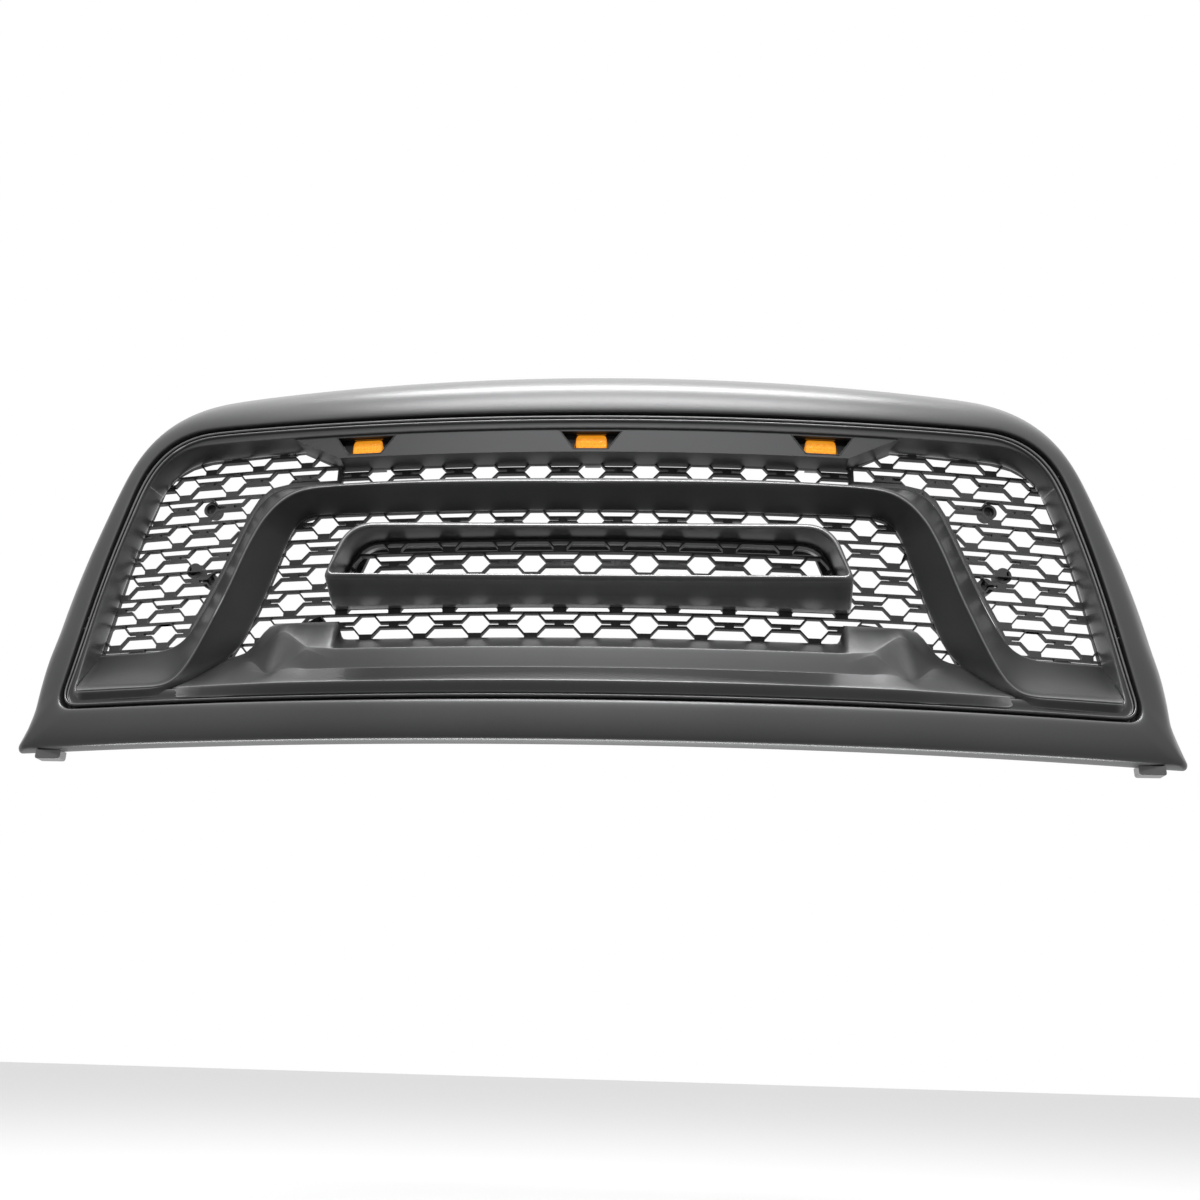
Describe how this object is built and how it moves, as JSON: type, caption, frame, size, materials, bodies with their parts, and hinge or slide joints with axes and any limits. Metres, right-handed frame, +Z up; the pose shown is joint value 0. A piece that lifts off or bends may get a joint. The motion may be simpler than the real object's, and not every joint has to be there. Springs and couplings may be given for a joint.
{
  "type": "front grille",
  "caption": "Pickup truck front grille: satin grey outer shell, honeycomb mesh, arch bezel, raised centre frame and amber marker lamps in the top bar.",
  "frame": {"origin": "centre of the middle bolt hole in the top mounting tabs, on the tab's top face", "axes": "+X to the grille's right as seen from the front, -Y forwards out of the front face, +Z up"},
  "size_m": [1.2698, 0.2036, 0.458],
  "materials": {
    "shell_paint": "satin metallic paint",
    "trim_paint": "satin metallic paint",
    "mesh_black": "moulded matt black",
    "lamp_black": "gloss black",
    "lens_amber": "clear amber",
    "board_green": "matt",
    "steel": "zinc plated"
  },
  "bodies": {
    "root": {"outer_shell": "shell_paint", "insert_frame": "trim_paint", "lamp_panel": "trim_paint", "arch_bezel": "trim_paint", "lower_bar": "trim_paint", "centre_frame": "trim_paint", "mesh_wing_left": "mesh_black", "mesh_wing_right": "mesh_black", "mesh_top_strip": "mesh_black", "mesh_centre": "mesh_black", "mesh_infill": "mesh_black", "lamp_housing_left": "lamp_black", "lamp_housing_centre": "lamp_black", "lamp_housing_right": "lamp_black", "lamp_lens_left": "lens_amber", "lamp_lens_centre": "lens_amber", "lamp_lens_right": "lens_amber", "lamp_board_left": "board_green", "lamp_board_centre": "board_green", "lamp_board_right": "board_green", "lamp_cover_left": "lamp_black", "lamp_cover_centre": "lamp_black", "lamp_cover_right": "lamp_black", "lamp_screws": "steel", "shell_screws": "steel", "arch_screws": "steel", "bar_screws": "steel", "frame_screws": "steel", "panel_screws": "steel", "mesh_push_pins": "mesh_black", "top_sleeves": "steel", "side_sleeves": "steel"}
  },
  "joints": []
}
